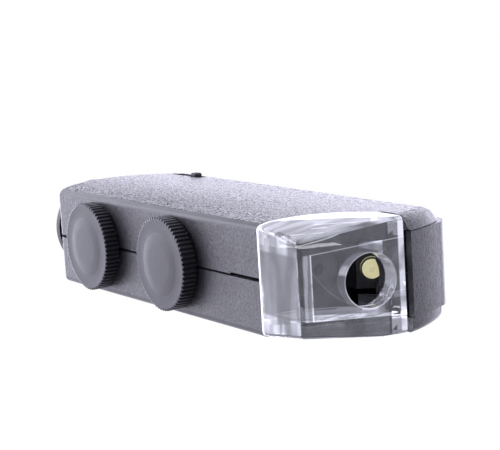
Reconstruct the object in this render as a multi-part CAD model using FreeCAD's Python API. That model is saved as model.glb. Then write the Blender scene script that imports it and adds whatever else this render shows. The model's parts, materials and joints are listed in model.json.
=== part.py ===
import FreeCAD, Part
import math
import os

# Pocket microscope of the jeweller's kind, with a built-in lamp.
# It lies on its broad face: +Z is up, +X runs along the optical axis from the eyepiece (rear)
# to the clear foot (front), -Y is the near side with the two knobs and +Y is the far side with
# the lamp and battery. All X values are counted from the rear rim of the eyepiece collar;
# save() moves every piece back by DATUM, which puts the origin inside the collar's land.
Vec = FreeCAD.Vector
X_AXIS, Y_AXIS, Z_AXIS = Vec(1, 0, 0), Vec(0, 1, 0), Vec(0, 0, 1)

# ---- driving dimensions, mm ----
DATUM = 1.2             # from the collar's rear rim to the origin

# body
FLAT_Z = -12.5          # flat panel on the underside
NEAR_Y = -16.0          # outer face of the knob side
FAR_Y = 23.8            # outer face of the lamp and battery side
EDGE_H = 12.2           # half thickness where the crown meets the edges
CROWN_H = 12.7          # half thickness at the top of the crown
WALL = 2.0              # shell wall
EDGE_R = 1.6            # rounding along the outer edges
FAR_REAR_R = 3.2        # softer rounding of the far top edge, up to SPLIT_X
FAR_FRONT_R = 4.6       # its other radius, used in front of SPLIT_X
SPLIT_X = 55.0          # the body is rounded in two parts that meet here
SIDE_X0 = 11.0          # rear end of the straight knob side
REAR_X = 2.4            # rearmost point of the rounded rear wall
REAR_FAR = (12.4, FAR_Y)         # corners of the plan on the far side
FRONT_FAR = (117.6, FAR_Y)
INSIDE_Z = 11.4         # height of ribs, walls and posts, above and below the mid plane
SPLIT_GAP = 0.12        # each shell stops this far from the mid plane
LIP = 1.0               # depth of the lap joint from the outer face

# clear foot
SEAM_X = 105.4          # where the foot starts on the knob side
SEAM_GAP = 0.06         # clearance at the seam
# seam between the shells and the foot, seen from above: x, y
SEAM = [(SEAM_X, NEAR_Y + 0.5), (104.9, -11.0), (105.2, -6.5), (106.4, -2.0),
        (108.9, 2.0), (112.4, 5.6), (116.4, 8.2)]
FOOT_Y1 = 8.0           # lamp-housing side of the foot
HOUSING_Y = FOOT_Y1 + 1.2        # lamp housing, across a slot from the foot
HOUSING_WALL = 1.6
FRONT_X0 = 120.5        # front face of the foot at NEAR_Y
FRONT_X1 = 124.6        # front face of the foot at FOOT_Y1
FRONT_WALL = 4.0        # thickness of the foot's front wall
HOLE_R = 5.8            # viewing hole
TAB_Y0, TAB_Y1 = -11.0, 1.0      # rear tabs that slip under the shells
TAB_Z0, TAB_Z1 = 8.9, 10.15

# knobs, shafts and gearing
KNOB_X = {"zoom": 33.0, "focus": 69.9}
KNOB_R = 10.9
KNOB_Y0, KNOB_Y1 = -20.4, -16.5
RIDGES = 62             # knurl ridges round a knob
SHAFT_R = 1.5
STUB_R = 1.1            # thin inner end of a shaft
RUN = 0.05              # running clearance on radius
MODULE = 0.5            # rack and pinion module
TEETH = 12
PITCH_R = MODULE * TEETH / 2
PITCH = math.pi * MODULE
PRESSURE_ANGLE = math.radians(20)
BACKLASH = 0.05         # taken off each tooth thickness
RACK_ADDENDUM, PINION_ADDENDUM, DEDENDUM = 0.33, 0.45, 0.62
FLANK_STEPS = 6
PINION_Y0, PINION_Y1 = -13.1, -10.1
RACK_Y0, RACK_Y1 = -12.95, -10.25
RACK_BACK_Z = 5.5
RACK_HALF = {"zoom": 8.6, "focus": 7.6}          # half lengths
CLIP_Y0, CLIP_Y1 = -13.68, -13.18

# sliding tubes and the ribs that carry them
ZOOM_TUBE_R, FOCUS_TUBE_R = 8.4, 7.0
ZOOM_X0, ZOOM_X1 = 22.0, 44.0
FOCUS_X0, FOCUS_X1 = 60.0, 95.0
RIB_T = 1.5
MID_WALL_Y = 9.6        # far face of the ribs and of the long inner wall
# rib rear faces, tube radius, near end of the rib
RIB_SETS = (((29.0, 36.0), ZOOM_TUBE_R, -6.2),
            ((67.0, 87.5), FOCUS_TUBE_R, -3.9))

# eyepiece
RING_R = 12.25
LAND = 2.0              # length of the ring's land
NECK_R = 10.6           # neck between the ring and the body
BARREL_R = 9.5
FLANGE_R = 11.0
SEAT_X = 6.5            # front face of the seat behind which the flange turns

# rim radius, edge from x, edge to x, bulge to the rear, bulge to the front
LENSES = {"eye_lens": (8.25, 3.7, 5.7, 0.75, 1.2),
          "zoom_lens": (7.15, 24.6, 26.4, 0.9, 1.0),
          "objective_lens": (3.45, 100.4, 101.3, 0.5, 0.55)}
# outer radius, inner radius, from x, to x
RETAINERS = {"eye_lens_retainer": (8.28, 7.3, 6.05, 8.2),
             "zoom_lens_retainer": (7.18, 6.3, 22.3, 24.33),
             "objective_retainer": (3.48, 2.7, 101.6, 103.1)}

# lamp; places along its axis are measured from the tip, backwards negative
LED_TIP = Vec(114.0, 7.5, 0)
LED_DEG = -35.5         # direction of its beam from +X
LED_AXIS = Vec(math.cos(math.radians(LED_DEG)), math.sin(math.radians(LED_DEG)), 0)
LED_R = 2.5
LEAD_Z = 1.27           # leads above and below the lamp axis

# battery and its cover
CELL_R, CELL_T = 5.8, 3.05       # button cells 11.6 x 3.05
CELLS = 3
CELL_PITCH = CELL_T + 0.02
CELL_X0, CELL_Y = 79.0, 15.6
CELLS_END = CELL_X0 + CELLS * CELL_PITCH
CRADLE_X0, CRADLE_X1 = 75.4, 91.2
COVER_X0 = 62.0         # rear end of the cover opening
COVER_Y = 25.2          # outer face of the cover, a little proud
COVER_Z = 9.3           # half height of the opening
COVER_GAP = 0.12

# light switch
SWITCH_X, SWITCH_Y = 22.8, 19.0  # nub at rest
SWITCH_TRAVEL = 4.0

# screw posts: x, y
POSTS = [(13.9, -11.9), (54.0, -11.4), (92.5, -11.4), (12.6, 12.9), (37.5, 17.8), (57.0, 17.8)]
POST_R = 2.3
HEAD_Z = -10.6          # bottom of the posts' counterbores, for the screw heads


# ---- helpers ----
def cyl_x(r, x0, x1, y=0.0, z=0.0):
    return Part.makeCylinder(r, x1 - x0, Vec(x0, y, z), X_AXIS)


def cyl_y(r, y0, y1, x):
    return Part.makeCylinder(r, y1 - y0, Vec(x, y0, 0), Y_AXIS)


def cyl_z(r, z0, z1, x, y):
    return Part.makeCylinder(r, z1 - z0, Vec(x, y, z0), Z_AXIS)


def cone_x(r0, r1, length, x):
    return Part.makeCone(r0, r1, length, Vec(x, 0, 0), X_AXIS)


def tube(outer_r, inner_r, x0, x1):
    return cyl_x(outer_r, x0, x1).cut(cyl_x(inner_r, x0 - 1, x1 + 1))


def box(x0, x1, y0, y1, z0, z1):
    return Part.makeBox(x1 - x0, y1 - y0, z1 - z0, Vec(x0, y0, z0))


def side_box(sign, x0, x1, y0, y1, low, high):
    """Box above the mid plane for sign 1, mirrored below it for sign -1."""
    return box(x0, x1, y0, y1, *sorted((sign * low, sign * high)))


def layer(z0=-20, z1=20, x0=-20, x1=150):
    """Box wider than the body."""
    return box(x0, x1, -40, 50, z0, z1)


def prism(points, z0, z1):
    """Polygon of (x, y) points extruded along Z."""
    corners = [Vec(x, y, z0) for x, y in points]
    return Part.Face(Part.makePolygon(corners + corners[:1])).extrude(Vec(0, 0, z1 - z0))


def prism_y(points, y0, y1):
    """Polygon of (x, z) points extruded along Y."""
    corners = [Vec(x, y0, z) for x, z in points]
    return Part.Face(Part.makePolygon(corners + corners[:1])).extrude(Vec(0, y1 - y0, 0))


def outline(start, steps):
    """Wire in the XY plane; a step is [end] for a line or [middle, end] for an arc."""
    edges, last = [], Vec(*start, 0)
    for step in steps:
        points = [last] + [Vec(*p, 0) for p in step]
        edges.append(Part.Arc(*points).toShape() if len(step) == 2 else Part.makeLine(*points))
        last = points[-1]
    return Part.Wire(edges)


def raise_face(face, z0, z1):
    face.translate(Vec(0, 0, z0))
    return face.extrude(Vec(0, 0, z1 - z0))


def join(shapes):
    return shapes[0].fuse(shapes[1:]).removeSplitter()


def try_fillet(shape, r, edges):
    """Rounded shape, or None. The kernel raises an error on edges it cannot round."""
    try:
        rounded = shape.makeFillet(r, edges)
        if rounded.isValid() and rounded.Volume > 0:
            return rounded
    except Exception:
        pass
    return None


def soften(shape, r, pick):
    """Round the edges that pick() accepts, together or else one by one.

    An edge that cannot be rounded is left sharp.
    """
    chosen = [e for e in shape.Edges if pick(e)]
    if not chosen:
        return shape
    rounded = try_fillet(shape, r, chosen)
    if rounded is not None:
        return rounded
    for edge in chosen:
        centre = edge.CenterOfMass
        same = [e for e in shape.Edges if e.CenterOfMass.distanceToPoint(centre) < 1e-4]
        rounded = try_fillet(shape, r, same)
        if rounded is not None:
            shape = rounded
    return shape


def swell(shape, r0, r1, pick):
    """Round the longest edge that pick() accepts, and its smooth chain, from r0 to r1."""
    edge = max([e for e in shape.Edges if pick(e)], key=lambda e: e.Length)
    return shape.makeFillet(r0, r1, [edge])


def save(name, shape):
    solids = shape.Solids
    shape = solids[0] if len(solids) == 1 else Part.makeCompound(solids)
    shape = shape.copy()
    shape.translate(Vec(-DATUM, 0, 0))
    shape.exportStep("parts/%s.step" % name)


# ---- body form ----
BODY_PLAN = outline((SIDE_X0, NEAR_Y), [
    [(REAR_X, -0.2), REAR_FAR],
    [FRONT_FAR],
    [(122.2, 16.9), (125.0, HOUSING_Y)],
    [(125.0, NEAR_Y)],
    [(SIDE_X0, NEAR_Y)],
])


def plan_prism(inset, z0=-20, z1=20):
    """Body plan, drawn in by inset, between two heights."""
    wire = BODY_PLAN.makeOffset2D(-inset, 0, False, False) if inset else BODY_PLAN
    return raise_face(Part.Face(wire), z0, z1)


def crown_block(drop):
    """Everything between the crowned top and bottom faces, both drawn in by drop."""
    x0, y0, y1 = -10.0, -30.0, 40.0
    crown = CROWN_H - drop
    middle = (NEAR_Y + FAR_Y) / 2
    curve = (CROWN_H - EDGE_H) / ((FAR_Y - NEAR_Y) / 2) ** 2

    def at(y, sign):
        return Vec(x0, y, sign * (crown - curve * (y - middle) ** 2))

    top = Part.Arc(at(y0, 1), at(middle, 1), at(y1, 1)).toShape()
    far = Part.makeLine(at(y1, 1), at(y1, -1))
    bottom = Part.Arc(at(y1, -1), at(middle, -1), at(y0, -1)).toShape()
    near = Part.makeLine(at(y0, -1), at(y0, 1))
    return Part.Face(Part.Wire([top, far, bottom, near])).extrude(Vec(150, 0, 0))


def foot_region(grow, y1):
    """Region in front of the seam, out to y1. grow > 0 moves the seam rearwards."""
    z = -20.0
    points = [Vec(x - grow, y, z) for x, y in SEAM]
    seam = Part.BSplineCurve()
    seam.interpolate(points)
    corners = [points[-1], Vec(points[-1].x, y1, z), Vec(140, y1, z),
               Vec(140, NEAR_Y - 4, z), Vec(SEAM_X - grow, NEAR_Y - 4, z), points[0]]
    sides = [Part.makeLine(a, b) for a, b in zip(corners, corners[1:])]
    return Part.Face(Part.Wire([seam.toShape()] + sides)).extrude(Vec(0, 0, 40))


def body_form():
    """Solid outer form, rounded in a rear and a front part."""
    body = plan_prism(0).common(crown_block(0))
    for x, y, r in ((SIDE_X0, NEAR_Y, 2.2), (*REAR_FAR, 5.0), (*FRONT_FAR, 4.8)):
        body = soften(body, r, lambda e: abs(e.CenterOfMass.x - x) < 0.2
                      and abs(e.CenterOfMass.y - y) < 0.2 and e.Length > 20)
    rear = body.common(layer(x1=SPLIT_X))
    front = body.common(layer(x0=SPLIT_X))
    rear = swell(rear, EDGE_R, FAR_REAR_R, lambda e: e.CenterOfMass.z > 11.5
                 and e.CenterOfMass.x < 9 and e.CenterOfMass.y > -10)
    rear = soften(rear, EDGE_R, lambda e: e.CenterOfMass.z < -EDGE_H + 1.0
                  and e.CenterOfMass.x < SPLIT_X - 0.1)
    front = swell(front, FAR_FRONT_R, FAR_REAR_R, lambda e: e.CenterOfMass.z > 11.5
                  and e.CenterOfMass.y > FAR_Y - 0.3)
    front = soften(front, EDGE_R, lambda e: abs(e.CenterOfMass.z) > EDGE_H - 1.0
                   and e.CenterOfMass.y < NEAR_Y + 0.1)
    front = soften(front, EDGE_R, lambda e: e.CenterOfMass.z < -EDGE_H + 1.0
                   and SPLIT_X + 0.1 < e.CenterOfMass.x < 124.9
                   and e.CenterOfMass.y > NEAR_Y + 0.1)
    return join([rear, front]).common(layer(FLAT_Z))


BODY = body_form()


# ---- shapes placed on the lamp axis and at the switch ----
def on_led(distance):
    return LED_TIP + LED_AXIS * distance


def led_cyl(r, length, start):
    return Part.makeCylinder(r, length, on_led(start), LED_AXIS)


def led_box(origin, *limits):
    """Box with its limits along and across the lamp axis, measured from origin."""
    turned = box(*limits)
    turned.Placement = FreeCAD.Placement(origin, FreeCAD.Rotation(Z_AXIS, LED_DEG))
    return turned


def switch_box(x0, x1, y0, y1, z0, z1):
    """Box with x and y measured from the switch nub."""
    return box(SWITCH_X + x0, SWITCH_X + x1, SWITCH_Y + y0, SWITCH_Y + y1, z0, z1)


def switch_slot(z0, z1):
    return switch_box(-SWITCH_TRAVEL - 1.15, 1.15, -0.9, 0.9, z0, z1)


# ---- shells ----
def housing_wall(x1):
    """Wall beside the foot, closing the lamp compartment."""
    return box(112.6, x1, HOUSING_Y, HOUSING_Y + HOUSING_WALL, -20, 20)


HOUSING_WALL_X1 = 122.6


def cover_zone():
    """Opening for the battery cover, from the far face round to the front end."""
    y = FAR_Y - 3.4
    return prism([(COVER_X0, y), (112.0, y), (117.0, 19.0), (121.2, HOUSING_Y + 2.0),
                  (122.7, HOUSING_Y + 2.0), (122.7, FOOT_Y1), (140.0, FOOT_Y1),
                  (140.0, 40.0), (COVER_X0, 40.0)], -COVER_Z, COVER_Z)


def shell_inserts(sign):
    """Ribs, walls, bosses and posts, before they are cut to the shell."""
    height = (-INSIDE_Z, INSIDE_Z)
    inserts = []
    for xs, r, y0 in RIB_SETS:
        for x in xs:
            rib = box(x, x + RIB_T, y0, MID_WALL_Y, *height)
            inserts.append(rib.cut(cyl_x(r + RUN, x - 1, x + RIB_T + 1)))
    # long wall between the optics and the battery and lamp side
    mid_wall = box(48.0, 102.8, MID_WALL_Y - 1.2, MID_WALL_Y, *height)
    inserts.append(mid_wall.cut(cyl_x(FOCUS_TUBE_R + 1.6, 40, 110)))
    # bosses round the shafts
    inserts += [cyl_y(3.4, NEAR_Y + WALL - 0.4, -13.75, x) for x in KNOB_X.values()]
    inserts += [housing_wall(HOUSING_WALL_X1), housing_wall(124.6)]
    # flat seat inside the rear wall for the eyepiece flange
    inserts.append(cyl_x(11.4, 1.0, SEAT_X))
    if sign > 0:
        # rail above each rack
        inserts += [box(x - 12, x + 12, RACK_Y0 - 0.05, RACK_Y1 + 0.05, 5.62, INSIDE_Z)
                    for x in KNOB_X.values()]
    inserts += [cyl_z(POST_R, *height, x, y) for x, y in POSTS]
    return inserts


def half_body(sign):
    """Hollow upper (1) or lower (-1) half with its inserts."""
    side = side_box(sign, -20, 150, -40, 50, SPLIT_GAP, 20.0)
    cover = cover_zone()
    foot_cut = foot_region(0.0, HOUSING_Y)

    def trim(shape):
        return shape.common(side).cut(cover).cut(foot_cut)

    form = trim(BODY.cut(plan_prism(WALL).common(crown_block(WALL))))
    for insert in shell_inserts(sign):
        form = form.fuse(trim(insert.common(BODY)))
    return form


def finish_top(shell):
    # lap joint: the rim is rebated to take the lower shell's tongue
    rebate = plan_prism(LIP).cut(plan_prism(WALL + 0.05)).common(layer(-1, 1.1))
    shell = shell.cut(rebate.cut(box(60, 150, 8, 50, -2, 2)))
    # wider slot in the rim beside the foot
    shell = shell.cut(box(94.0, SEAM_X + 1, NEAR_Y - 1, NEAR_Y + 0.8, -1, 0.42))
    # switch recess in the top face, its slot, and the pocket for the switch below
    recess = switch_box(-11.4, 3.4, -1.0, 1.7, CROWN_H - 1.2, 20.0)
    shell = shell.cut(soften(recess, 1.2, lambda e: e.BoundBox.ZLength > 5.5))
    shell = shell.cut(switch_slot(5, 20))
    shell = shell.cut(switch_box(-8.4, 4.4, -2.6, 2.6, 0, CROWN_H - 2.9))
    for x, y in POSTS:
        shell = shell.cut(cyl_z(0.85, -1, 8.2, x, y))
    return shell


def finish_bottom(shell):
    # tongue of the lap joint, left out along the cover, the foot, the eyepiece and the shafts
    tongue = plan_prism(LIP + 0.1, -2.0, 1.0).cut(plan_prism(WALL, -3, 3))
    tongue = tongue.cut(box(60, 150, 8, 50, -5, 5)).cut(foot_region(0.4, 60))
    tongue = tongue.cut(cyl_x(11.6, -5, 14))
    for x in KNOB_X.values():
        tongue = tongue.cut(box(x - 4.5, x + 4.5, -20, -10, -3, 3))
    shell = shell.fuse(tongue)
    # screw holes and counterbores for the heads
    for x, y in POSTS:
        shell = shell.cut(cyl_z(1.15, -20, 2, x, y))
        shell = shell.cut(cyl_z(2.15, -20, HEAD_Z, x, y))
    return shell


def make_shell(sign):
    shell = half_body(sign)
    # room for the lamp, which looks out through the housing wall
    room = led_box(LED_TIP, -9.0, -2.7, -3.6, 4.4, -4.75, 4.75)
    shell = shell.cut(room.fuse(led_cyl(2.75, 14.0, -9.0)))
    # rear opening for the eyepiece barrel, and room for its flange
    shell = shell.cut(cyl_x(BARREL_R + 0.1, -5, 12))
    shell = shell.cut(cyl_x(FLANGE_R + 0.15, SEAT_X, 11.0))
    for x in KNOB_X.values():
        shell = shell.cut(cyl_y(SHAFT_R + RUN, -25, -13.0, x))
    shell = finish_top(shell) if sign > 0 else finish_bottom(shell)
    # grooves along the edges of the cover opening, for the cover's rails
    for side in (1, -1):
        shell = shell.cut(side_box(side, COVER_X0, 140, 22.2, 23.3,
                                   COVER_Z - 0.2, COVER_Z + 0.75))
    # slot for the foot's tab
    return shell.cut(side_box(sign, 100, 112, TAB_Y0 - 0.2, TAB_Y1 + 0.2,
                              TAB_Z0 - 0.1, TAB_Z1 + 0.1))


# ---- clear foot ----
def front_x(y):
    return FRONT_X0 + (FRONT_X1 - FRONT_X0) / (FOOT_Y1 - NEAR_Y) * (y - NEAR_Y)


def clear_foot():
    foot = foot_region(-SEAM_GAP, FOOT_Y1).common(crown_block(0.0)).common(layer(FLAT_Z))
    foot = foot.common(prism([(90, NEAR_Y), (front_x(NEAR_Y), NEAR_Y),
                              (front_x(FOOT_Y1), FOOT_Y1), (90, FOOT_Y1)], -20, 20))
    # the foot tapers in height towards its knob-side front corner, above and below
    for sign in (1, -1):
        rear = Vec(SEAM_X, NEAR_Y, sign * 11.9)
        corner = Vec(FRONT_X0, NEAR_Y, sign * 10.2)
        far = Vec(FRONT_X1, FOOT_Y1 - 2.0, sign * 12.7)
        normal = (corner - rear).cross(far - rear) * sign
        normal.normalize()
        waste = Part.makeBox(400, 400, 60, Vec(-200, -200, 0))
        waste.Placement = FreeCAD.Placement(rear, FreeCAD.Rotation(Z_AXIS, normal))
        foot = foot.cut(waste)
    foot = soften(foot, 1.3, lambda e: (abs(e.CenterOfMass.y - NEAR_Y) < 0.3
                                        and e.CenterOfMass.x > SEAM_X + 2)
                  or (e.CenterOfMass.x > front_x(e.CenterOfMass.y) - 0.4
                      and e.CenterOfMass.y < FOOT_Y1 - 0.2))
    y0, y1 = NEAR_Y + 2.6, FOOT_Y1 - 3.0
    foot = foot.cut(prism([(90, y0), (front_x(y0) - FRONT_WALL, y0),
                           (front_x(y1) - FRONT_WALL, y1), (90, y1)], -7.7, 7.7))
    foot = foot.cut(cyl_x(HOLE_R, 100, 140))
    # light window in the wall beside the lamp
    foot = foot.cut(box(100, 118.6, FOOT_Y1 - 4.0, FOOT_Y1 + 2, -5.2, 5.2))
    tabs = [foot_region(4.5, FOOT_Y1 - 4.0).common(
        side_box(sign, 90, 112, TAB_Y0, TAB_Y1, TAB_Z0, TAB_Z1)) for sign in (1, -1)]
    return join([foot] + tabs)


# ---- battery cover ----
def battery_cover():
    x0, inner_y, end_y = COVER_X0 + 0.2, FAR_Y - 0.1, HOUSING_Y + 0.4
    plan = outline((x0, FAR_Y - 1.6), [
        [(x0, COVER_Y - 1.0)],
        [(COVER_X0 + 0.5, COVER_Y - 0.3), (COVER_X0 + 1.2, COVER_Y)],
        [(114.0, COVER_Y)],
        [(118.2, 24.0), (120.6, 21.0)],
        [(123.3, 15.3), (125.2, end_y)],
        [(123.4, end_y)],
        [(121.4, 14.6), (118.4, 19.8)],
        [(116.4, 22.4), (113.2, inner_y)],
        [(64.0, inner_y)],
        [(64.0, FAR_Y - 1.6)],
        [(x0, FAR_Y - 1.6)],
    ])
    cover = raise_face(Part.Face(plan), -COVER_Z + COVER_GAP, COVER_Z - COVER_GAP)
    cover = cover.cut(housing_wall(HOUSING_WALL_X1))
    # rails for the shells' grooves, and the strips that tie them to the cover
    for sign in (1, -1):
        for y0, y1, top in ((22.3, 23.2, COVER_Z + 0.65), (23.1, 24.2, COVER_Z - COVER_GAP)):
            cover = cover.fuse(side_box(sign, 64.5, 112.0, y0, y1, COVER_Z - 1.2, top))
    return soften(cover.removeSplitter(), 0.8, lambda e: abs(e.CenterOfMass.z) > COVER_Z - 0.5
                  and e.CenterOfMass.y > COVER_Y - 0.2)


# ---- eyepiece and lenses ----
def eyepiece_ring():
    neck = cyl_x(NECK_R, LAND - 0.1, 7.5).cut(BODY)
    neck = max(neck.Solids, key=lambda s: s.Volume)
    barrel = cyl_x(BARREL_R, 0.5, 6.6)
    flange = cyl_x(FLANGE_R, SEAT_X + 0.05, 8.4)
    ring = join([cyl_x(RING_R, 0, LAND), neck, barrel, flange])
    # dished mouth, sight hole and lens bore
    ring = ring.cut(cone_x(11.0, 7.6, 2.2, 0)).cut(cyl_x(7.6, 2.0, 3.0)).cut(cyl_x(8.3, 2.9, 10.0))
    return soften(ring, 0.2, lambda e: abs(e.CenterOfMass.x) < 0.05)


def lens(rim_r, x0, x1, bulge_rear, bulge_front):
    """Lens of edge span x0..x1, with a spherical cap on each face."""
    def cap(pole, rim, sign):
        height = abs(rim.x - pole.x)
        sphere_r = (rim_r * rim_r + height * height) / (2 * height)
        centre_x = pole.x + sign * sphere_r
        angle = math.asin(rim_r / sphere_r) / 2
        middle = Vec(centre_x - sign * sphere_r * math.cos(angle), sphere_r * math.sin(angle), 0)
        return Part.Arc(pole, middle, rim).toShape()

    rear_pole, front_pole = Vec(x0 - bulge_rear, 0, 0), Vec(x1 + bulge_front, 0, 0)
    rear_rim, front_rim = Vec(x0, rim_r, 0), Vec(x1, rim_r, 0)
    edges = [cap(rear_pole, rear_rim, 1), Part.makeLine(rear_rim, front_rim),
             cap(front_pole, front_rim, -1), Part.makeLine(front_pole, rear_pole)]
    section = Part.Face(Part.Wire(Part.sortEdges(edges)[0]))
    return section.revolve(Vec(0, 0, 0), X_AXIS, 360)


# ---- racks and pinions ----
def pinion(x):
    """Involute pinion on +Y, with a tooth pointing to +Z."""
    base_r = PITCH_R * math.cos(PRESSURE_ANGLE)
    tip_r, root_r = PITCH_R + PINION_ADDENDUM, PITCH_R - DEDENDUM

    def involute(angle):
        return math.tan(angle) - angle

    half_tooth = (PITCH / 2 - BACKLASH) / 2 / PITCH_R
    flank = []          # radius, half angle of the tooth
    for k in range(FLANK_STEPS + 1):
        r = base_r + (tip_r - base_r) * k / FLANK_STEPS
        angle = math.acos(base_r / r)
        flank.append((r, half_tooth + involute(PRESSURE_ANGLE) - involute(angle)))
    flank.insert(0, (root_r, flank[0][1]))
    tooth = [(r, -w) for r, w in flank] + [(r, w) for r, w in reversed(flank)]
    points = []
    for k in range(TEETH):
        for r, w in tooth:
            angle = 2 * math.pi * k / TEETH + w
            points.append((x + r * math.sin(angle), r * math.cos(angle)))
    return prism_y(points, PINION_Y0, PINION_Y1)


def rack(x, half):
    """Rack above the pinion, teeth down, with a gap centred on x."""
    slope = math.tan(PRESSURE_ANGLE)
    count = int(half / PITCH) + 1
    tip_z, root_z = PITCH_R - RACK_ADDENDUM, PITCH_R + DEDENDUM
    tooth = PITCH / 2 - BACKLASH
    root_w = tooth / 2 + DEDENDUM * slope
    tip_w = tooth / 2 - RACK_ADDENDUM * slope
    points = [(x - half, RACK_BACK_Z), (x - half, root_z)]
    for k in range(-count, count):
        c = x + (k + 0.5) * PITCH
        if c - root_w <= x - half + 0.05 or c + root_w >= x + half - 0.05:
            continue
        points += [(c - root_w, root_z), (c - tip_w, tip_z),
                   (c + tip_w, tip_z), (c + root_w, root_z)]
    points += [(x + half, root_z), (x + half, RACK_BACK_Z)]
    return prism_y(points, RACK_Y0, RACK_Y1)


def rack_and_web(name, tube_r, web_y1, clear_y):
    """Rack and the web to its tube; beyond clear_y the web stays only inside tube_r."""
    x, half = KNOB_X[name], RACK_HALF[name]
    web = box(x - half, x + half, RACK_Y1 - 0.1, web_y1, 4.2, RACK_BACK_Z)
    waste = box(0, 200, clear_y, 0, 0, 6).cut(cyl_x(tube_r, 0, 200))
    return [rack(x, half), web.cut(waste)]


# ---- sliding tubes ----
def zoom_carriage():
    body = join([cyl_x(ZOOM_TUBE_R, ZOOM_X0, ZOOM_X1)]
                + rack_and_web("zoom", ZOOM_TUBE_R, -5.5, -6.45))
    # through bore, widened on both sides of a narrow step
    return body.cut(cyl_x(6.3, 0, 60)).cut(cyl_x(7.2, ZOOM_X0 - 1, 27.6)).cut(cyl_x(7.2, 29.0, 60))


def focus_carriage():
    nose_r, nose_taper = 4.6, 3.0
    body = join([cyl_x(FOCUS_TUBE_R, FOCUS_X0, FOCUS_X1),
                 cone_x(FOCUS_TUBE_R, nose_r, nose_taper, FOCUS_X1),
                 cyl_x(nose_r, FOCUS_X1 + nose_taper, 103.4)]
                + rack_and_web("focus", FOCUS_TUBE_R, -4.0, -4.1))
    # bore, its taper, the narrow passage and the objective's seat
    bore_r, bore_end, stop_r = 5.8, FOCUS_X1 - 0.5, 2.9
    body = body.cut(cyl_x(bore_r, 50, bore_end)).cut(cone_x(bore_r, stop_r, 4.0, bore_end))
    return body.cut(cyl_x(stop_r, 90, 101)).cut(cyl_x(3.5, 99.8, 110))


# ---- knobs, shafts, clips and washers ----
# arcs of the knob's face: radius, height from KNOB_Y0 towards the body, at start, middle and end
KNOB_FACE = [
    ((0, -0.05), (2.4, -0.035), (4.8, 0.01)),       # low crown
    ((4.8, 0.01), (6.2, 0.13), (7.4, 0.29)),        # soft flank
    ((7.4, 0.29), (8.8, 0.33), (10.35, 0.28)),      # flat ring
]
# one knurl ridge: fraction of the pitch, depth below KNOB_R
RIDGE = ((0.0, 0.55), (0.14, 0.55), (0.44, 0), (0.70, 0))


def knob(x):
    y = KNOB_Y0
    face = [Part.Arc(*[Vec(x + r, y + h, 0) for r, h in arc]).toShape() for arc in KNOB_FACE]
    rim = [(10.35, y + 0.28), (KNOB_R - 0.12, y + 0.40), (KNOB_R + 0.2, y + 0.56),
           (KNOB_R + 0.2, KNOB_Y1 - 0.3), (KNOB_R - 0.3, KNOB_Y1), (0, KNOB_Y1), (0, y - 0.05)]
    corners = [Vec(x + r, rim_y, 0) for r, rim_y in rim]
    sides = [Part.makeLine(a, b) for a, b in zip(corners, corners[1:])]
    blank = Part.Face(Part.Wire(face + sides)).revolve(Vec(x, 0, 0), Y_AXIS, 360)
    # the knurl is cut right up to the face
    points = []
    for k in range(RIDGES):
        for fraction, depth in RIDGE:
            angle = 2 * math.pi * (k + fraction) / RIDGES
            r = KNOB_R - depth
            points.append((x + r * math.cos(angle), r * math.sin(angle)))
    knurled = blank.common(prism_y(points, y - 1, y + 5))
    return knurled.cut(cyl_y(SHAFT_R + 0.01, -19.3, -10, x))


def shaft(x):
    body = join([cyl_y(SHAFT_R, -19.2, PINION_Y0 + 0.3, x), pinion(x),
                 cyl_y(STUB_R, PINION_Y1 - 0.2, -9.3, x)])
    groove = cyl_y(SHAFT_R + 0.2, CLIP_Y0 - 0.02, CLIP_Y1 + 0.03, x)
    return body.cut(groove.cut(cyl_y(1.15, -14, -13, x)))


def clip(x):
    """Retaining clip, open towards -Z."""
    disc = cyl_y(2.9, CLIP_Y0, CLIP_Y1, x).cut(cyl_y(1.17, -15, -12, x))
    return disc.cut(box(x - 0.9, x + 0.9, -15, -12, -4, 0))


def washer(x):
    return cyl_y(4.6, -16.44, -16.04, x).cut(cyl_y(SHAFT_R + 0.12, -20, -10, x))


# ---- case screws, driven from below ----
def screw(x, y):
    head = cyl_z(2.0, -11.95, HEAD_Z - 0.05, x, y)
    head = soften(head, 0.35, lambda e: e.CenterOfMass.z < -11.9)
    # cross recess
    for dx, dy in ((0.35, 1.25), (1.25, 0.35)):
        head = head.cut(box(x - dx, x + dx, y - dy, y + dy, -13, -11.3))
    point = Part.makeCone(0.8, 0.2, 0.7, Vec(x, y, 7.4), Z_AXIS)
    return join([head, cyl_z(0.8, -10.8, 7.4, x, y), point])


# ---- lamp ----
def led_lamp():
    dome = Part.makeSphere(LED_R, on_led(-LED_R))
    return join([dome, led_cyl(LED_R, 5.2, -7.7), led_cyl(2.9, 1.0, -8.7)])


def led_lead(z):
    return led_box(on_led(-13.4) + Vec(0, 0, z), 0, 4.6, -0.25, 0.25, -0.25, 0.25)


def lamp_bracket():
    """Upright plate behind the foot, with a block that holds the lamp."""
    plate = box(103.0, 104.2, -13.8, 8.3, -10.1, 10.1)
    for sign in (1, -1):
        plate = plate.cut(side_box(sign, 100, 110, TAB_Y0 - 0.6, TAB_Y1 + 0.6, 8.5, 12))
    sight = cyl_x(5.3, 90, 120)
    plate = plate.cut(sight)
    block = led_box(LED_TIP, -7.65, -2.9, -3.4, 4.2, -4.6, 4.6)
    link = box(103.0, 108.6, 6.6, 8.9, -4.6, 4.6)
    bracket = join([plate, block, link]).cut(sight)
    return bracket.cut(led_cyl(LED_R + 0.06, 12, -9.0)).cut(led_cyl(3.0, 4.0, -11.7))


# ---- batteries and wiring ----
def button_cell(x):
    can = cyl_x(CELL_R, x + 0.35, x + CELL_T, CELL_Y)
    return join([can, cyl_x(CELL_R - 0.7, x, x + 0.5, CELL_Y)])


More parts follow.
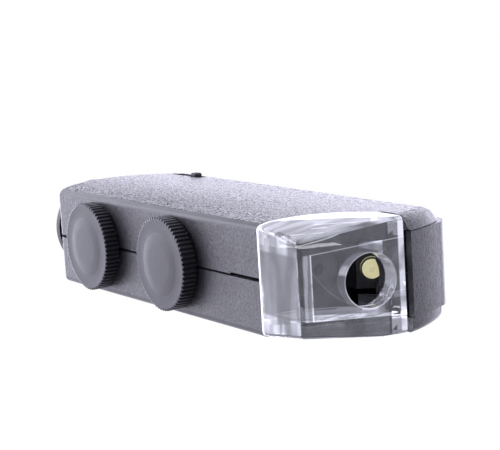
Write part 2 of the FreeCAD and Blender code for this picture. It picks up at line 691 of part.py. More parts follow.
def battery_cradle():
    inner_x0, inner_x1 = CRADLE_X0 + 1.4, CRADLE_X1 - 1.6
    cradle = join([box(CRADLE_X0, CRADLE_X1, 9.7, 21.6, -8.6, -1.5),
                   box(CRADLE_X0, inner_x0, 9.7, 21.6, -8.6, 5.0),
                   box(inner_x1, CRADLE_X1, 9.7, 21.6, -8.6, 5.0)])
    return cradle.cut(cyl_x(CELL_R + 0.1, inner_x0, inner_x1, CELL_Y))


# bent contact leaves seen from the side: x, z
MINUS_LEAF = [(76.85, -1.2), (77.1, -1.2), (77.1, 4.9), (78.65, 1.5), (78.65, -1.6),
              (78.9, -1.6), (78.9, 1.6), (77.1, 5.55), (77.1, 6.4), (76.85, 6.4)]
PLUS_LEAF = [(89.55, -1.2), (89.55, 6.4), (89.3, 6.4), (89.3, 5.2),
             (CELLS_END + 0.03, 1.6), (CELLS_END + 0.03, -1.6),
             (CELLS_END + 0.28, -1.6), (CELLS_END + 0.28, 1.5), (89.3, 4.3), (89.3, -1.2)]
LEAF_Y0, LEAF_Y1 = 13.2, 18.0

# wire paths: x, y, z
LED_END = on_led(-13.6)
RED_PATH = [(90.1, 15.2, 6.0), (92.3, 16.8, 6.6), (95.0, 18.0, 4.0), (97.5, 17.6, 1.9),
            (101.3, 16.2, 1.4), (LED_END.x - 0.6, LED_END.y + 0.3, LEAD_Z)]
BLACK_PATH = [(76.2, 15.4, 6.2), (73.6, 17.0, 6.8), (67.0, 18.6, 6.4), (60.5, 14.2, 6.9),
              (50.0, 13.2, 7.4), (38.5, 13.6, 7.4), (30.3, 15.8, 7.4), (27.6, 17.9, 7.4)]
WIRE_R = 0.5


def cable(path):
    curve = Part.BSplineCurve()
    curve.interpolate([Vec(*p) for p in path])
    tangent = curve.tangent(curve.FirstParameter)[0]
    section = Part.Wire(Part.makeCircle(WIRE_R, Vec(*path[0]), tangent))
    return Part.Wire(curve.toShape()).makePipeShell([section], True, True)


def series_resistor():
    y, z = 14.0, -6.0
    return join([cyl_x(1.15, 94.6, 99.6, y, z), cyl_x(0.28, 92.6, 101.6, y, z)])


# ---- light switch ----
def switch_body():
    case = switch_box(-8.2, 4.2, -2.5, 2.5, 5.2, CROWN_H - 3.0)
    case = case.cut(switch_box(-7.4, 3.4, -1.8, 1.8, 6.0, CROWN_H - 3.6))
    case = case.cut(switch_slot(8.0, 12.0))
    pins = [switch_box(-5.2 + 3.2 * k, -4.8 + 3.2 * k, -0.35, 0.35, 3.2, 5.3) for k in range(3)]
    return join([case] + pins)


def switch_slider():
    nub = soften(switch_box(-1.3, 1.3, -0.8, 1.35, CROWN_H - 1.15, 13.35), 0.4,
                 lambda e: e.CenterOfMass.z > 13.2 or e.BoundBox.ZLength > 1.0)
    for x in (-0.6, 0.0, 0.6):
        nub = nub.cut(switch_box(x - 0.14, x + 0.14, -3, 3, 13.1, 14))
    stem = switch_box(-1.0, 1.0, -0.75, 0.75, 7.4, CROWN_H - 1.0)
    base = switch_box(-2.2, 2.2, -1.6, 1.6, 6.6, 8.4)
    return join([nub, stem, base])


# ---- build and save every piece ----
os.makedirs("parts", exist_ok=True)

for piece in (clear_foot, battery_cover, eyepiece_ring, zoom_carriage, focus_carriage,
              led_lamp, lamp_bracket, battery_cradle, series_resistor,
              switch_body, switch_slider):
    save(piece.__name__, piece())

for name, sizes in LENSES.items():
    save(name, lens(*sizes))
for name, sizes in RETAINERS.items():
    retainer = tube(*sizes)
    if name == "eye_lens_retainer":
        retainer = soften(retainer, 0.25, lambda e: e.CenterOfMass.x > 8.15)
    save(name, retainer)

for name, x in KNOB_X.items():
    save(name + "_knob", knob(x))
    save(name + "_shaft", shaft(x))
    save(name + "_clip", clip(x))
save("knob_washers", Part.makeCompound([washer(x) for x in KNOB_X.values()]))
save("case_screws", Part.makeCompound([screw(x, y) for x, y in POSTS]))
save("led_leads", Part.makeCompound([led_lead(z) for z in (LEAD_Z, -LEAD_Z)]))
save("button_cells", Part.makeCompound(
    [button_cell(CELL_X0 + k * CELL_PITCH) for k in range(CELLS)]))
save("battery_contact_minus", prism_y(MINUS_LEAF, LEAF_Y0, LEAF_Y1))
save("battery_contact_plus", prism_y(PLUS_LEAF, LEAF_Y0, LEAF_Y1))
save("red_wire", cable(RED_PATH))
save("black_wire", cable(BLACK_PATH))
save("top_shell", make_shell(1))
save("bottom_shell", make_shell(-1))
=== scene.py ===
import json
import math
import bpy
import bmesh
from mathutils import Matrix, Vector


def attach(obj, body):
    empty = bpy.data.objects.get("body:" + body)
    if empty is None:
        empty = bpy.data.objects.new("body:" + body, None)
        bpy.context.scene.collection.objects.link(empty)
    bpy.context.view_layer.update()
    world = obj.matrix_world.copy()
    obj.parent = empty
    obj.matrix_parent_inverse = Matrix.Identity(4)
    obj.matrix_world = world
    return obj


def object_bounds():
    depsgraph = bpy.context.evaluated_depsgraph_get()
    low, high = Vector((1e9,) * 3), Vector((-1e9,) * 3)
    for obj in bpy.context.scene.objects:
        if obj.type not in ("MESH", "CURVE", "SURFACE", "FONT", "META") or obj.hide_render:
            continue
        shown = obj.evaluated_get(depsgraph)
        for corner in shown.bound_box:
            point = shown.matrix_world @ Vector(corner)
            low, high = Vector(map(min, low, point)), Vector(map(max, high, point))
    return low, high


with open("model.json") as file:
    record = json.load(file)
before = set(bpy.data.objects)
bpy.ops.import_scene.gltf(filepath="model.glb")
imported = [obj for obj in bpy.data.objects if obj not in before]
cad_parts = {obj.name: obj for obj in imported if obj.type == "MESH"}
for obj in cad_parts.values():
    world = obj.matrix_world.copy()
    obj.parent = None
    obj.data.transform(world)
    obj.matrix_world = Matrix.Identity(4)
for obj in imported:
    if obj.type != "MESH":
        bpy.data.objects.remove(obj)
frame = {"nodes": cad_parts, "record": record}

CAD_BOX = [list(map(float, c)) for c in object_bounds()]
NODES = frame["nodes"]
MM = 0.001


# ---------------------------------------------------------------- node helpers
class Mat:
    """Small wrapper for building a node material; lengths inside are in millimetres."""

    def __init__(self, name):
        self.m = bpy.data.materials.new(name)
        self.m.use_nodes = True
        self.t = self.m.node_tree
        self.t.nodes.clear()
        self.out = self.n("ShaderNodeOutputMaterial")
        self.b = self.n("ShaderNodeBsdfPrincipled")
        self.l(self.b.outputs[0], self.out.inputs["Surface"])
        tc = self.n("ShaderNodeTexCoord")
        sc = self.n("ShaderNodeVectorMath", operation="SCALE")
        sc.inputs["Scale"].default_value = 1000.0
        self.l(tc.outputs["Object"], sc.inputs[0])
        self.co = sc.outputs[0]

    def n(self, kind, **props):
        node = self.t.nodes.new(kind)
        for k, v in props.items():
            setattr(node, k, v)
        return node

    def l(self, a, b):
        self.t.links.new(a, b)

    def put(self, sock, v):
        if hasattr(v, "is_output") or isinstance(v, bpy.types.NodeSocket):
            self.l(v, sock)
        else:
            sock.default_value = v

    def stretch(self, s, co=None):
        m = self.n("ShaderNodeMapping")
        m.inputs["Scale"].default_value = s
        self.l(co or self.co, m.inputs["Vector"])
        return m.outputs[0]

    def noise(self, scale, detail=3.0, rough=0.55, co=None, dist=0.0):
        x = self.n("ShaderNodeTexNoise")
        x.inputs["Scale"].default_value = scale
        x.inputs["Detail"].default_value = detail
        x.inputs["Roughness"].default_value = rough
        x.inputs["Distortion"].default_value = dist
        self.l(co or self.co, x.inputs["Vector"])
        return x.outputs["Fac"]

    def voronoi(self, scale, feature="F1", co=None, rnd=1.0):
        x = self.n("ShaderNodeTexVoronoi", feature=feature)
        x.inputs["Scale"].default_value = scale
        x.inputs["Randomness"].default_value = rnd
        self.l(co or self.co, x.inputs["Vector"])
        return x.outputs["Distance"]

    def math(self, op, a, b=0.0, c=0.0, clamp=False):
        x = self.n("ShaderNodeMath", operation=op, use_clamp=clamp)
        for i, v in enumerate((a, b, c)):
            self.put(x.inputs[i], v)
        return x.outputs[0]

    def remap(self, v, a0, a1, b0, b1):
        x = self.n("ShaderNodeMapRange", interpolation_type="SMOOTHSTEP")
        for s, q in zip(("Value", "From Min", "From Max", "To Min", "To Max"), (v, a0, a1, b0, b1)):
            self.put(x.inputs[s], q)
        return x.outputs[0]

    def mix(self, f, a, b):
        x = self.n("ShaderNodeMix", data_type="RGBA")
        self.put(x.inputs[0], f)
        self.put(x.inputs[6], a)
        self.put(x.inputs[7], b)
        return x.outputs[2]

    def mixf(self, f, a, b):
        x = self.n("ShaderNodeMix", data_type="FLOAT")
        self.put(x.inputs[0], f)
        self.put(x.inputs[2], a)
        self.put(x.inputs[3], b)
        return x.outputs[0]

    def bump(self, height, dist_mm, strength=1.0, normal=None):
        x = self.n("ShaderNodeBump")
        x.inputs["Distance"].default_value = dist_mm * MM
        self.put(x.inputs["Strength"], strength)
        self.put(x.inputs["Height"], height)
        if normal is not None:
            self.l(normal, x.inputs["Normal"])
        return x.outputs[0]

    def normal_xyz(self):
        g = self.n("ShaderNodeNewGeometry")
        vt = self.n("ShaderNodeVectorTransform", vector_type="NORMAL", convert_from="WORLD", convert_to="OBJECT")
        self.l(g.outputs["Normal"], vt.inputs[0])
        s = self.n("ShaderNodeSeparateXYZ")
        self.l(vt.outputs[0], s.inputs[0])
        return s.outputs

    def xyz(self):
        s = self.n("ShaderNodeSeparateXYZ")
        self.l(self.co, s.inputs[0])
        return s.outputs

    def edge(self, radius_mm, lo=0.02, hi=0.25):
        """1 along convex or concave edges, 0 on open faces."""
        bv = self.n("ShaderNodeBevel", samples=4)
        bv.inputs["Radius"].default_value = radius_mm * MM
        g = self.n("ShaderNodeNewGeometry")
        d = self.n("ShaderNodeVectorMath", operation="DOT_PRODUCT")
        self.l(bv.outputs[0], d.inputs[0])
        self.l(g.outputs["Normal"], d.inputs[1])
        return self.remap(self.math("SUBTRACT", 1.0, d.outputs["Value"]), lo, hi, 0.0, 1.0)

    def set(self, **kw):
        for k, v in kw.items():
            self.put(self.b.inputs[k.replace("_", " ")], v)
        return self


def rgb(r, g, b):
    """sRGB 0..255 to linear."""
    def f(c):
        c /= 255.0
        return c / 12.92 if c <= 0.04045 else ((c + 0.055) / 1.055) ** 2.4
    return (f(r), f(g), f(b), 1.0)


def scaled(c, k):
    return (c[0] * k, c[1] * k, c[2] * k, 1.0)


# ---------------------------------------------------------------- materials
SHEEN = 0.12


def shell_plastic(name, base, grain_h=0.16, smooth_band=True, joint_line=True):
    """Moulded plastic with a spark-eroded grain, smooth along its rounded edges."""
    m = Mat(name)
    n = m.normal_xyz()
    fine = m.noise(1.55, 2.0, 0.62)
    pits = m.voronoi(1.15, "SMOOTH_F1")
    micro = m.noise(3.6, 1.0, 0.5)
    wide = m.noise(0.55, 3.0, 0.6)
    h = m.math("ADD", m.math("MULTIPLY", fine, 0.8), m.math("MULTIPLY", pits, 0.5))
    h = m.math("ADD", h, m.math("MULTIPLY", micro, 0.22))
    h = m.math("ADD", h, m.math("MULTIPLY", wide, 0.35))
    az = m.math("ABSOLUTE", n[2])
    band = m.math("MULTIPLY", m.remap(az, 0.06, 0.22, 0.0, 1.0), m.remap(az, 0.955, 0.992, 1.0, 0.0))
    pos = m.xyz()
    near = m.remap(pos[1], 1.0, 6.0, 1.0, 0.0)
    band = m.math("MULTIPLY", band, near) if smooth_band else 0.0
    amount = m.math("SUBTRACT", 1.0, m.math("MULTIPLY", band, 0.9))
    cloud = m.noise(0.07, 4.0, 0.6)
    patch = m.noise(0.4, 3.0, 0.6)
    col = m.mix(m.remap(cloud, 0.3, 0.7, 0.0, 1.0), scaled(base, 0.92), scaled(base, 1.10))
    # painted highlight: the base colour is lighter on the peaks of the grain; painted shade: it is darker in the
    # grain's hollows
    grain_tip_highlight = m.math("MULTIPLY", m.remap(fine, 0.48, 0.72, 0.0, 1.0), m.math("MULTIPLY", amount, 0.55))
    col = m.mix(grain_tip_highlight, col, scaled(base, 2.1))
    grain_hollow_shade = m.math("MULTIPLY", m.remap(fine, 0.46, 0.30, 0.0, 1.0), m.math("MULTIPLY", amount, 0.55))
    col = m.mix(grain_hollow_shade, col, scaled(base, 0.45))
    wear = m.math("MULTIPLY", m.edge(0.3), m.remap(patch, 0.35, 0.7, 0.15, 0.9))
    col = m.mix(m.math("MULTIPLY", wear, 0.3), col, scaled(base, 2.4))
    rough = m.mixf(m.remap(patch, 0.3, 0.7, 0.0, 1.0), 0.40, 0.48)
    rough = m.math("SUBTRACT", rough, m.math("MULTIPLY", wear, 0.10))
    m.set(Base_Color=col, Roughness=rough, IOR=1.5)
    m.b.inputs["Sheen Weight"].default_value = SHEEN
    m.b.inputs["Sheen Roughness"].default_value = 0.3
    m.b.inputs["Coat Weight"].default_value = 0.6
    m.b.inputs["Coat Roughness"].default_value = 0.34
    nrm = m.bump(h, grain_h, m.math("MULTIPLY", amount, m.remap(az, 0.6, 0.95, 0.55, 1.0)))
    m.put(m.b.inputs["Normal"], nrm)
    m.put(m.b.inputs["Coat Normal"], nrm)
    # painted shade: the small hollows of the grain are darkened by mixing in a dark diffuse shader, more on upward
    # faces (the painted glint of the grain peaks is in the base colour above)
    grit = m.noise(2.3, 1.5, 0.55)
    painted_shade = m.math("ADD", m.math("MULTIPLY", m.remap(grit, 0.54, 0.36, 0.0, 1.0), 0.62), m.math("MULTIPLY", m.remap(wide, 0.5, 0.35, 0.0, 1.0), 0.15))
    up = m.remap(az, 0.6, 0.95, 0.40, 1.0)
    painted_shade = m.math("MULTIPLY", m.math("MULTIPLY", painted_shade, up), amount, clamp=True)
    # painted shade: the top face is darkened towards the knob side, more towards the rear, with a cloudy edge to the
    # gradient
    top_painted_shade = m.math("MULTIPLY", m.remap(az, 0.9, 0.98, 0.0, 1.0), m.remap(m.math("ADD", pos[1], m.math("MULTIPLY", cloud, 6.0)), -14.0, 16.0, m.remap(pos[0], 55.0, 105.0, 0.36, 0.22), 0.0))
    # painted shade: the smooth rounded edge band is darkened as well
    painted_shade = m.math("ADD", m.math("ADD", painted_shade, top_painted_shade), m.math("MULTIPLY", band, 0.30), clamp=True)
    # painted shade: a dark line along the seam where the shells meet, standing in for the shade in the groove between
    # them
    half = m.math("ADD", m.remap(pos[0], 43.0, 50.0, 0.30, 0.20), m.remap(pos[0], 92.5, 93.2, 0.0, 0.16))
    joint_shade = m.math("MULTIPLY", m.remap(m.math("ABSOLUTE", m.math("SUBTRACT", pos[2], m.remap(pos[0], 92.5, 93.2, 0.02, 0.2))), half, m.math("ADD", half, 0.1), 1.0, 0.0), m.remap(az, 0.3, 0.5, 1.0, 0.0))
    joint_shade = m.math("MULTIPLY", joint_shade, m.math("MULTIPLY", m.remap(pos[1], -15.0, -12.0, 1.0, 0.35), 1.0 if joint_line else 0.0))
    painted_shade = m.math("MAXIMUM", painted_shade, m.math("MULTIPLY", joint_shade, 0.97))
    # the painted shade mask mixes the plastic towards this dark diffuse shader
    shade = m.n("ShaderNodeBsdfDiffuse")
    m.put(shade.inputs["Color"], m.mix(joint_shade, scaled(base, 0.8), (0.002, 0.002, 0.003, 1.0)))
    mx = m.n("ShaderNodeMixShader")
    m.put(mx.inputs[0], painted_shade)
    m.l(m.b.outputs[0], mx.inputs[1])
    m.l(shade.outputs[0], mx.inputs[2])
    m.l(mx.outputs[0], m.out.inputs["Surface"])
    return m.m


def satin_plastic(name, base, rough=0.42, grain=4.0, grain_h=0.008, axis=None, ior=1.5, sheen=0.0):
    """Smooth moulded plastic with faint flow marks, hairlines and rubbed edges."""
    m = Mat(name)
    fine = m.noise(grain, 3.0, 0.6)
    cloud = m.noise(0.22, 4.0, 0.6)
    scratch = m.noise(1.0, 2.0, 0.5, co=m.stretch((9.0, 9.0, 0.35)))
    scratch2 = m.noise(1.0, 2.0, 0.5, co=m.stretch((0.4, 7.0, 8.0)))
    lines = m.math("ADD", m.remap(scratch, 0.66, 0.74, 0.0, 1.0), m.remap(scratch2, 0.68, 0.76, 0.0, 1.0))
    col = m.mix(m.remap(cloud, 0.3, 0.7, 0.0, 1.0), scaled(base, 0.9), scaled(base, 1.12))
    wear = m.math("MULTIPLY", m.edge(0.25), m.remap(cloud, 0.4, 0.65, 0.15, 1.0))
    col = m.mix(m.math("MULTIPLY", wear, 0.3), col, scaled(base, 2.5))
    r = m.mixf(m.remap(cloud, 0.3, 0.7, 0.0, 1.0), rough - 0.04, rough + 0.05)
    r = m.math("ADD", r, m.math("MULTIPLY", lines, 0.05))
    m.set(Base_Color=col, Roughness=r, IOR=ior)
    m.b.inputs["Sheen Weight"].default_value = sheen
    m.b.inputs["Sheen Roughness"].default_value = 0.25
    h = m.math("ADD", fine, m.math("MULTIPLY", lines, -0.5))
    m.put(m.b.inputs["Normal"], m.bump(h, grain_h))
    return m.m


def clear_plastic(name, tint=(0.97, 0.975, 0.985, 1.0), rough=0.012, ior=1.49, smudge=0.04):
    """Clear moulded plastic with faint smudges, dust and hairline scratches."""
    m = Mat(name)
    cloud = m.noise(0.35, 3.0, 0.55)
    hair = m.noise(1.0, 1.0, 0.5, co=m.stretch((6.0, 0.3, 5.0)))
    hairs = m.remap(hair, 0.72, 0.76, 0.0, 1.0)
    dust = m.voronoi(0.7, "F1")
    specks = m.remap(dust, 0.03, 0.06, 1.0, 0.0)
    r = m.math("ADD", m.math("MULTIPLY", m.remap(cloud, 0.55, 0.8, 0.0, 1.0), smudge), rough)
    r = m.math("ADD", r, m.math("MULTIPLY", hairs, 0.08))
    r = m.math("ADD", r, m.math("MULTIPLY", specks, 0.2), clamp=True)
    m.set(Base_Color=tint, Roughness=r, IOR=ior)
    m.b.inputs["Transmission Weight"].default_value = 1.0
    h = m.math("ADD", m.noise(0.35, 2.0, 0.5), m.math("MULTIPLY", hairs, -0.1))
    m.put(m.b.inputs["Normal"], m.bump(h, 0.006))
    m.rough = r
    return m


# rear edge of the clear foot seen from above: the distance of the edge along X for each Y, in mm
SEAM = ((-20.0, 104.2), (-15.5, 104.2), (-11.0, 103.7), (-6.5, 104.0), (-2.0, 105.2), (2.0, 107.7), (5.6, 111.2), (8.2, 115.2))


def foot_plastic(name):
    """The clear plastic, with a frosted band along the edge that meets the shells and a rough bore; much of its
    brightness is painted light (emission glows and a painted reflection) and some of its darkness is painted shade.
    """
    w = clear_plastic(name)
    m = w
    x, y, z = m.xyz()
    ramp = m.n("ShaderNodeFloatCurve")
    cur = ramp.mapping.curves[0]
    lo, hi = SEAM[0][0], SEAM[-1][0]
    xs = [(p[0] - lo) / (hi - lo) for p in SEAM]
    ys = [(p[1] - 100.0) / 20.0 for p in SEAM]
    cur.points[0].location = (xs[0], ys[0])
    cur.points[1].location = (xs[-1], ys[-1])
    for a, b in list(zip(xs, ys))[1:-1]:
        cur.points.new(a, b)
    ramp.mapping.update()
    m.l(m.math("DIVIDE", m.math("SUBTRACT", y, lo), hi - lo, clamp=True), ramp.inputs["Value"])
    seam = m.math("ADD", m.math("MULTIPLY", ramp.outputs[0], 20.0), 100.0)
    gap = m.math("SUBTRACT", x, seam)
    rim = m.remap(gap, 0.50, 0.95, 1.0, 0.0)
    geo = m.n("ShaderNodeNewGeometry")
    skin = m.math("SUBTRACT", 1.0, geo.outputs["Backfacing"])
    nx = m.normal_xyz()[0]
    rim = m.math("MULTIPLY", rim, m.math("MULTIPLY", skin, m.remap(nx, -0.6, -0.3, 0.0, 1.0)))
    hollow = m.math("MULTIPLY", m.remap(m.math("ABSOLUTE", z), 8.2, 8.5, 1.0, 0.0), m.math("MULTIPLY", m.remap(y, -14.2, -13.9, 0.0, 1.0), m.remap(y, 7.85, 8.0, 1.0, 0.0)))
    rim = m.math("MULTIPLY", rim, m.math("SUBTRACT", 1.0, hollow))
    rad = m.math("SQRT", m.math("ADD", m.math("MULTIPLY", y, y), m.math("MULTIPLY", z, z)))
    bore = m.math("MULTIPLY", m.remap(m.math("ABSOLUTE", m.math("SUBTRACT", rad, 5.8)), 0.06, 0.16, 1.0, 0.0), m.remap(x, 113.0, 114.0, 0.0, 1.0))
    scuff = m.noise(2.2, 3.0, 0.6)
    r = m.mixf(rim, w.rough, 0.55)
    r = m.mixf(bore, r, m.remap(scuff, 0.35, 0.65, 0.04, 0.22))
    m.put(m.b.inputs["Roughness"], r)
    # painted shade: the base colour of the bore's left half is darkened
    inner = m.math("MULTIPLY", bore, m.remap(y, -2.5, 1.5, 1.0, 0.0))
    m.put(m.b.inputs["Base Color"], m.mix(inner, (0.97, 0.975, 0.985, 1.0), (0.38, 0.39, 0.45, 1.0)))
    # the frosted band is rough and also glows with painted light (emission)
    frost_glow = m.n("ShaderNodeBsdfPrincipled")
    frost_glow.inputs["Base Color"].default_value = (0.95, 0.95, 0.98, 1.0)
    frost_glow.inputs["Roughness"].default_value = 0.35
    frost_glow.inputs["Emission Color"].default_value = (0.97, 0.97, 1.0, 1.0)
    frost_glow.inputs["Emission Strength"].default_value = 0.40
    m.l(m.bump(m.noise(4.0, 2.0), 0.02), frost_glow.inputs["Normal"])

    def both(*v):
        out = v[0]
        for q in v[1:]:
            out = m.math("MULTIPLY", out, q)
        return out

    def total(*v):
        out = v[0]
        for q in v[1:]:
            out = m.math("ADD", out, q)
        return out

    def line(v, at, half, soft=0.08):
        d = m.math("ABSOLUTE", m.math("SUBTRACT", v, at))
        return m.remap(d, half, half + soft, 1.0, 0.0)

    # painted light (emission): a faint hazy glow on the skin, and painted highlights along the edges of the inner
    # walls seen through the front
    nrm = m.normal_xyz()
    plane = m.math("ADD", 119.3, m.math("MULTIPLY", m.math("ADD", y, 16.0), 0.1708))
    front = both(skin, line(x, plane, 0.10), m.remap(nrm[0], 0.9, 0.97, 0.0, 1.0))
    wide = m.noise(0.35, 3.0, 0.6)
    scar = m.noise(1.0, 3.0, 0.6, co=m.stretch((0.25, 0.25, 2.2)))
    spread = m.remap(scar, 0.42, 0.62, 0.35, 1.0)
    inside_y = m.remap(y, -13.6, -13.3, 0.0, 1.0)
    upper = both(line(m.math("SUBTRACT", z, m.math("MULTIPLY", m.math("ADD", y, 13.4), 0.065)), 6.95, 0.05, 0.10), inside_y)
    zt = m.math("SUBTRACT", -5.25, m.math("MULTIPLY", m.math("ADD", y, 13.45), 0.105))
    zb = m.math("SUBTRACT", -6.85, m.math("MULTIPLY", m.math("ADD", y, 13.5), 0.0615))
    ledge = both(m.remap(m.math("SUBTRACT", zt, z), 0.0, 0.5, 0.0, 1.0), m.remap(m.math("SUBTRACT", z, zb), 0.0, 0.12, 0.0, 1.0), inside_y, spread, m.remap(y, 4.6, 5.2, 1.0, 0.0))
    lip = both(line(m.math("SUBTRACT", z, zb), 0.0, 0.05, 0.08), inside_y)
    tall = both(m.remap(z, -7.0, -6.6, 0.0, 1.0), m.remap(z, 6.8, 7.2, 1.0, 0.0))
    col_a = both(line(y, -15.55, 0.14, 0.2), m.remap(z, -9.0, -8.0, 0.0, 1.0), m.remap(z, 7.5, 8.5, 1.0, 0.0))
    col_b = both(line(y, -13.35, 0.08, 0.12), tall, m.remap(m.noise(0.5, 2.0, 0.6), 0.35, 0.6, 0.45, 1.0))
    column = both(m.remap(y, -13.5, -13.2, 1.0, 0.0), tall, m.remap(m.noise(1.0, 1.0, 0.5, co=m.stretch((0.3, 1.6, 0.12))), 0.4, 0.6, 0.35, 1.0))
    ringed = both(line(rad, 5.93, 0.06, 0.08), m.remap(z, -5.0, 2.0, 1.0, 0.45))
    arc = both(line(m.math("SQRT", m.math("ADD", m.math("POWER", m.math("SUBTRACT", y, 4.5), 2.0), m.math("POWER", m.math("SUBTRACT", z, 14.0), 2.0))), 20.6, 0.03, 0.08), m.remap(y, -4.5, -5.5, 0.0, 1.0), inside_y)
    painted_wall_light = total(both(upper, 0.30), both(ledge, 0.62), both(lip, 0.35), both(col_a, 0.55), both(col_b, 0.50), both(column, 0.26), both(ringed, 0.42), both(arc, 0.10))
    painted_wall_light = both(painted_wall_light, front)
    # painted reflection (emission): a ceiling softbox mirrored in the sloping top, in streaks
    g2 = m.n("ShaderNodeNewGeometry")
    ref = m.n("ShaderNodeVectorMath", operation="REFLECT")
    m.l(g2.outputs["Incoming"], ref.inputs[0])
    m.l(g2.outputs["Normal"], ref.inputs[1])
    rz = m.n("ShaderNodeSeparateXYZ")
    m.l(ref.outputs[0], rz.inputs[0])
    cmb = m.n("ShaderNodeCombineXYZ")
    m.put(cmb.inputs[0], m.math("MULTIPLY", gap, 0.42))
    m.put(cmb.inputs[1], m.math("MULTIPLY", y, 0.07))
    streak = m.noise(1.0, 1.0, 0.45, co=cmb.outputs[0])
    box_up = m.remap(m.math("MULTIPLY", rz.outputs[2], -1.0), 0.30, 0.62, 0.0, 1.0)
    top = both(skin, box_up, m.remap(streak, 0.40, 0.60, 0.16, 0.62), m.remap(m.math("SUBTRACT", gap, m.math("MULTIPLY", m.math("ADD", y, 16.0), 0.5)), 2.0, 9.0, 1.0, 0.55), m.remap(z, 8.5, 11.5, 0.0, 1.0))
    # painted glow (emission) on the side wall beside the seam and on the right-hand edge strip
    side = both(skin, m.remap(nrm[1], -0.9, -0.97, 0.0, 1.0), m.remap(m.noise(1.0, 1.0, 0.5, co=m.stretch((0.22, 0.1, 0.05))), 0.35, 0.65, 0.03, 0.17), m.remap(m.math("ABSOLUTE", z), 6.4, 7.2, 1.0, 3.2))
    edge = both(front, m.remap(y, 6.5, 6.9, 0.0, 1.0), m.remap(m.noise(1.0, 1.0, 0.5, co=m.stretch((0.2, 0.2, 0.25))), 0.4, 0.6, 0.25, 0.6))
    # painted glow (emission) on the bore wall, stronger lower down
    wall = both(bore, skin, m.remap(y, 0.0, 3.0, 0.0, 1.0), m.math("ADD", 0.07, m.math("MULTIPLY", m.remap(m.noise(1.0, 3.0, 0.6, co=m.stretch((2.5, 1.2, 1.2))), 0.52, 0.62, 0.0, 1.0), m.remap(z, 1.0, -4.5, 0.05, 0.45))))
    chamber = both(m.remap(m.math("SUBTRACT", plane, x), 3.4, 3.8, 0.0, 1.0), m.remap(m.math("ABSOLUTE", z), 7.85, 8.0, 1.0, 0.0), m.remap(y, -13.7, -13.5, 0.0, 1.0), m.remap(y, 7.75, 7.85, 1.0, 0.0))
    # painted glow: a faint emission over the whole outer skin, left off the chamber faces
    haze_glow = both(skin, m.remap(wide, 0.3, 0.7, 0.055, 0.085), m.math("SUBTRACT", 1.0, chamber))
    m.put(m.b.inputs["Emission Color"], (0.93, 0.94, 1.12, 1.0))
    m.put(m.b.inputs["Emission Strength"], total(haze_glow, painted_wall_light, top, side, edge, wall))
    # painted shade: the inner left of the bore, seen through the front wall from inside, is swapped for a dim bluish
    # emission
    bore_dim_shade = m.n("ShaderNodeEmission")
    bore_dim_shade.inputs[0].default_value = (0.88, 0.9, 1.2, 1.0)
    bore_dim_shade.inputs[1].default_value = 0.035
    mxa = m.n("ShaderNodeMixShader")
    m.put(mxa.inputs[0], both(bore, geo.outputs["Backfacing"], m.remap(y, -1.0, 2.5, 0.92, 0.0)))
    m.l(m.b.outputs[0], mxa.inputs[1])
    m.l(bore_dim_shade.outputs[0], mxa.inputs[2])
    # painted shade: chamber faces seen directly by the camera are mixed to a near-black diffuse
    lp = m.n("ShaderNodeLightPath")
    dim = m.n("ShaderNodeBsdfDiffuse")
    m.put(dim.inputs["Color"], m.mix(wide, (0.012, 0.012, 0.016, 1.0), (0.03, 0.03, 0.036, 1.0)))
    mxb = m.n("ShaderNodeMixShader")
    m.put(mxb.inputs[0], both(chamber, lp.outputs["Is Camera Ray"], 0.93))
    m.l(mxa.outputs[0], mxb.inputs[1])
    m.l(dim.outputs[0], mxb.inputs[2])
    mx = m.n("ShaderNodeMixShader")
    m.put(mx.inputs[0], m.math("MULTIPLY", rim, m.remap(m.noise(0.8, 2.0), 0.3, 0.7, 0.62, 0.85)))
    m.l(mxb.outputs[0], mx.inputs[1])
    m.l(frost_glow.outputs[0], mx.inputs[2])
    m.l(mx.outputs[0], m.out.inputs["Surface"])
    return m.m


